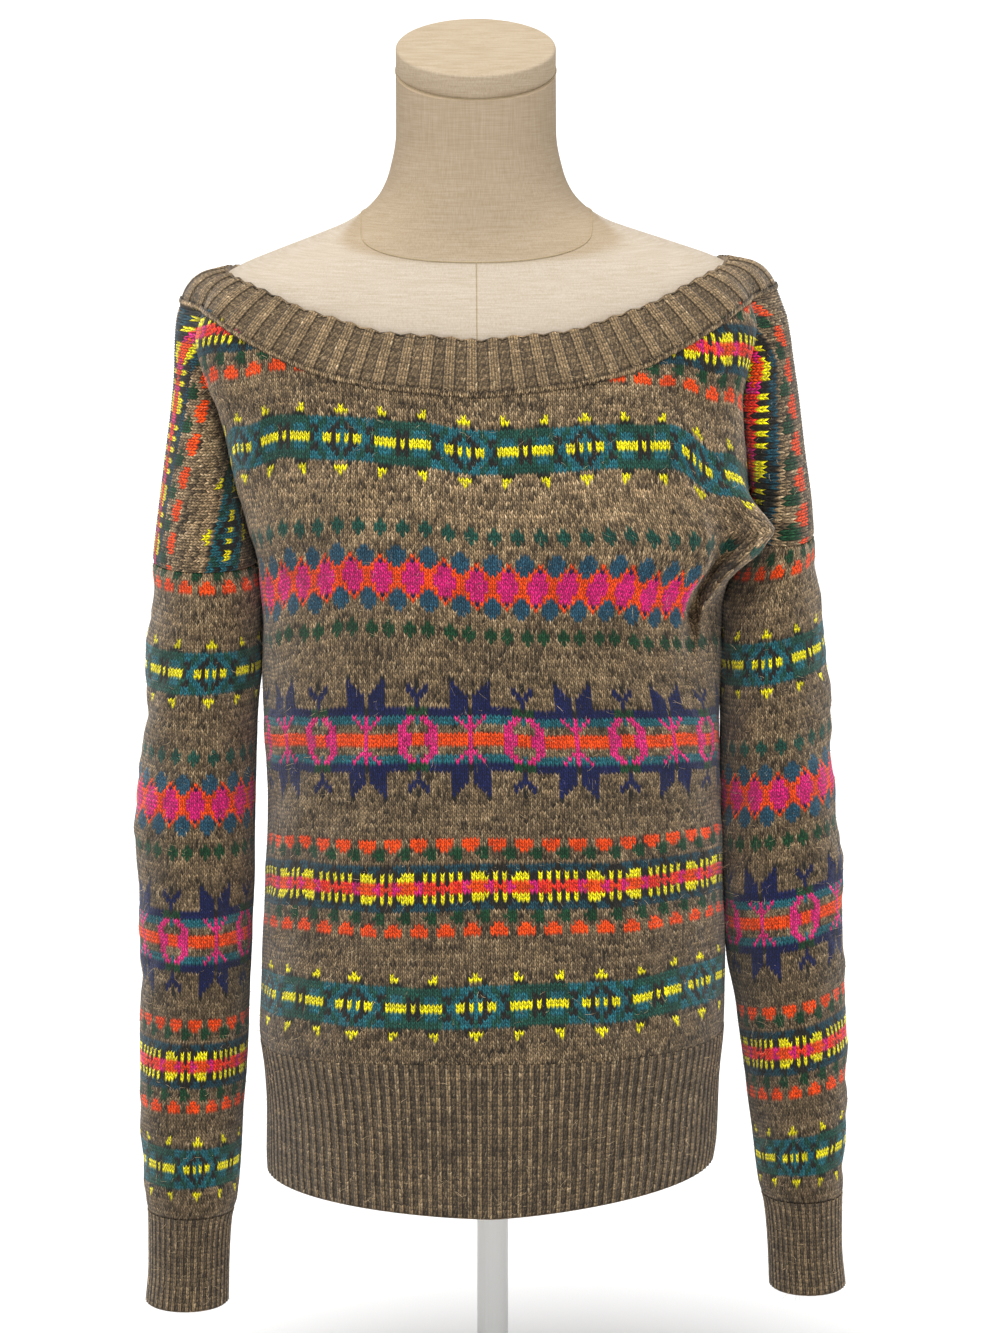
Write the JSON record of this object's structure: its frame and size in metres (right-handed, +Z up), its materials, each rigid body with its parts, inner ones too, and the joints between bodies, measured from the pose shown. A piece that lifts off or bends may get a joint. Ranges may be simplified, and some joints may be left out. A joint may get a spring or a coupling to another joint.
{
  "type": "fair isle jumper on a limbless dress form",
  "caption": "Wide-necked knitted jumper with ribbed neckband, hem and cuffs, worn by a limbless dress form on a pole and round base.",
  "frame": {"origin": "on the floor under the middle of the bounding box", "axes": "+Z up, the front of the garment faces -Y, +X is the right side as seen from the front"},
  "size_m": [0.5019, 0.26, 1.0029],
  "materials": {
    "heather_knit": "brushed wool knit",
    "heather_rib": "ribbed wool knit",
    "linen": "plain woven linen",
    "cap_linen": "plain woven linen",
    "white_steel": "satin paint"
  },
  "bodies": {
    "root": {"front": "heather_knit", "back": "heather_knit", "sleeve_left": "heather_knit", "sleeve_right": "heather_knit", "neckband": "heather_rib", "hem_rib": "heather_rib", "cuff_left": "heather_rib", "cuff_right": "heather_rib", "form_torso": "linen", "neck_cap": "cap_linen", "pole": "white_steel", "base": "white_steel"}
  },
  "joints": []
}
